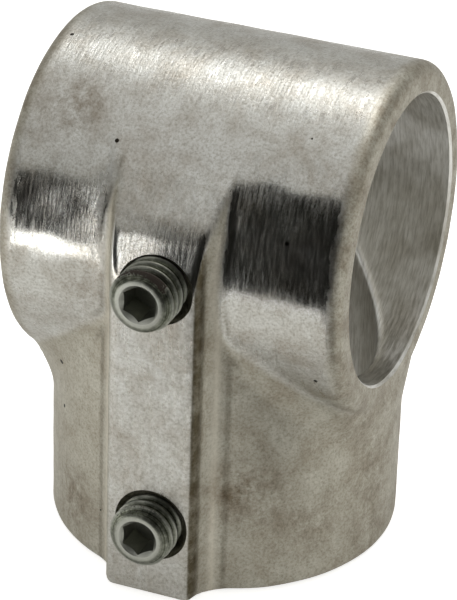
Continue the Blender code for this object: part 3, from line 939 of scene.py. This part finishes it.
# %% Plated steel: grime and relief
# Black-brown grime in grains of 0.3 mm, which is rough and not a metal
grains = add(tree, "ShaderNodeTexNoise", {"Vector": mm},
             {"Scale": 3.2, "Detail": 2.0, "Roughness": 0.6})
heaped = add(tree, "ShaderNodeMath", {0: grains, 2: grime}, {1: 1.6}, operation="MULTIPLY_ADD")
caked = add(tree, "ShaderNodeMapRange", {"Value": heaped}, {"From Min": 1.15, "From Max": 1.45})
dirty = add(tree, "ShaderNodeMix", {0: caked, 6: rubbed.outputs[2]}, {7: linear("#2B2117")},
            data_type="RGBA")
tree.links.new(dirty.outputs[2], shader.inputs["Base Color"])
bare = add(tree, "ShaderNodeMath", {1: caked}, {0: 1.0}, operation="SUBTRACT")
tree.links.new(bare.outputs[0], shader.inputs["Metallic"])
rough = add(tree, "ShaderNodeMapRange", {"Value": blotches},
            {"From Min": 0.30, "From Max": 0.70, "To Min": 0.28, "To Max": 0.46})
rougher = add(tree, "ShaderNodeMath", {0: caked, 2: rough}, {1: 0.4}, operation="MULTIPLY_ADD")
tree.links.new(rougher.outputs[0], shader.inputs["Roughness"])
heaps = add(tree, "ShaderNodeMath", {0: grains, 1: caked}, operation="MULTIPLY")
turning = add(tree, "ShaderNodeMath", {0: rings, 1: blotches}, operation="ADD")
uneven = add(tree, "ShaderNodeMath", {0: heaps, 2: turning}, {1: 6.0}, operation="MULTIPLY_ADD")
bump = add(tree, "ShaderNodeBump", {"Height": uneven}, {"Strength": 1.0, "Distance": 0.012 * MM})
tree.links.new(bump.outputs[0], shader.inputs["Normal"])
print("plated steel:", len(tree.nodes), "nodes")

# %% [markdown]
# ## The set screws
#
# Each is a 3/8-16 socket set screw: a thread with no head, a hexagon socket at one end and
# a cup point at the other. It is cut from bar, so it is made here as a threaded bar that is
# trimmed by a turned outline and then broached.
#
# The shank turns as it goes in. The point is a piece of its own, which only travels with it.

# %% Screw sizes
HEX_FLATS_MM = MM_PER_INCH * 3 / 16
HEX_CORNER = HEX_FLATS_MM / 2 / math.cos(math.pi / 6) * MM
HEX_DEPTH = 4.6 * MM
FACE_RADIUS = THREAD_CREST - 0.66 * MM
FACE_EDGE = ((0.62, 0), (0.42, 0.05), (0, 0.32))  # mm in from the face's radius, and mm back
CHAMFER_SLOPE = 0.9
MOUTH_RADIUS = HEX_CORNER + 0.22 * MM
POINT_RADIUS = THREAD_CREST - THREAD_DEPTH - 0.2 * MM
POINT_LENGTH = 1.3 * MM
POINT_TAPER = 1.0 * MM
CUP_LIP = 0.7 * MM
CUP_DEPTH = 0.7 * MM
SHANK_REACH = 0.4 * MM  # how far the shank runs on from its packed length, into the point
SHANK_SIDES = 96
TRIM_SIDES = 192
print(f"hexagon: {2 * HEX_CORNER / MM:.2f} mm over its corners, face {2 * FACE_RADIUS / MM:.2f} mm")

# %% Cut a shank


def cut_shank(name, face, end, place):
    """A threaded shank from its face to its end, as depths into the rib, with a hexagon socket."""
    wide = THREAD_CREST + 0.8 * MM  # clear of the crests
    shank = new_object(name + "_shank", threaded_bar(THREAD_CREST, face, end, SHANK_SIDES), *place)
    shank.data.materials.append(plated)
    rounded = [(FACE_RADIUS - inward * MM, face + backward * MM) for inward, backward in FACE_EDGE]
    trim = new_object("trim", turned(
        [(0, face), *rounded, (wide, rounded[-1][1] + (wide - FACE_RADIUS) * CHAMFER_SLOPE),
         (wide, end - (wide - POINT_RADIUS)), (POINT_RADIUS, end), (0, end)], TRIM_SIDES), *place)
    trim.data.materials.append(plated)
    cut(shank, trim, "INTERSECT")
    socket = bmesh.new()
    deep = HEX_DEPTH + PAST
    bmesh.ops.create_cone(socket, cap_ends=True, segments=6, radius1=HEX_CORNER, radius2=HEX_CORNER,
                          depth=deep, matrix=Matrix.Translation((0, 0, face + HEX_DEPTH - deep / 2)))
    hexagon = new_object("hexagon", socket, *place)
    hexagon.data.materials.append(plated)
    cut(shank, hexagon)
    lead = new_object("lead_in", turned(
        [(0, face - PAST), (MOUTH_RADIUS + PAST, face - PAST), (0, face + MOUTH_RADIUS)], CONE_SIDES),
        *place)
    lead.data.materials.append(plated)
    cut(shank, lead)
    shank.data.transform(shank.matrix_basis)
    shank.matrix_basis = Matrix.Identity(4)
    return shank


# %% Wear and grime on a shank


def mark_shank(mesh, front_y, height, grime):
    """Marks where a shank is rubbed and where grime lies, from its front and its axis's height."""
    corners = np.array([v.co for v in mesh.vertices])
    radial = np.hypot(corners[:, 0], corners[:, 2] - height)
    depth = corners[:, 1] - front_y
    front = smooth_step(0.12 * MM, 0.0, depth) * smooth_step(FACE_RADIUS, MOUTH_RADIUS, radial)
    crest = smooth_step(THREAD_CREST - 0.35 * MM, THREAD_CREST, radial)
    # The key has rubbed the hexagon's walls
    keyed = radial < HEX_CORNER + 0.05 * MM
    mark(mesh, "worn", np.where(keyed, 0.6, np.clip(0.9 * front + 0.5 * crest, 0, 1)))
    # Grime has settled on top, in the first groove and the next
    on_top = smooth_step(0.35, 0.85, (corners[:, 2] - height) / np.maximum(radial, 1e-9))
    grooves = smooth_step(0.5 * MM, 0.9 * MM, depth) * smooth_step(2.6 * MM, 1.9 * MM, depth)
    mark(mesh, "grime", grime * on_top * grooves)
    mark(mesh, "across", radial / MM)


# %% Make the screws


def make_shank(name, joint, node, body, grime):
    """The shank of a set screw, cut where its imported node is."""
    low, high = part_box(node)
    height = joint["pos_m"][2]
    face = low.y + RIB_FRONT
    shank = cut_shank(name, face, high.y + RIB_FRONT + SHANK_REACH, hole_place(height))
    mark_shank(shank.data, low.y, height, grime)
    shank.data.shade_smooth()
    shank.data.set_sharp_from_angle(angle=CRISP_FROM)
    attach(shank, body)
    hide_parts(node)
    print(f"{name}: face {-face / MM:.1f} mm out of the rib, {len(shank.data.vertices)} vertices")


def make_point(name, joint, node, body):
    """The cup point of a set screw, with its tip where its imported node's is."""
    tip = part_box(node)[1].y + RIB_FRONT
    tip_radius = POINT_RADIUS - POINT_TAPER
    point = new_object(name + "_cup_point", turned(
        [(0, tip - POINT_LENGTH), (POINT_RADIUS, tip - POINT_LENGTH), (tip_radius, tip),
         (tip_radius - CUP_LIP, tip), (0, tip - CUP_DEPTH)], CONE_SIDES),
        *hole_place(joint["pos_m"][2]))
    point.data.materials.append(plated)
    mark(point.data, "worn", np.full(len(point.data.vertices), 0.3))
    point.data.shade_smooth()
    point.data.set_sharp_from_angle(angle=CRISP_FROM)
    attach(point, body)
    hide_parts(node)
    print(f"{name}: point {tip / MM:.1f} mm into the rib")


make_shank("rail_screw", joints["rail_screw_turn"], "rail_set_screw", "rail_screw", grime=1.0)
make_point("rail_screw", joints["rail_screw_turn"], "rail_screw_point", "rail_screw_carriage")
make_shank("post_screw", joints["post_screw_turn"], "post_set_screw", "post_screw", grime=0.3)
make_point("post_screw", joints["post_screw_turn"], "post_screw_point", "post_screw_carriage")
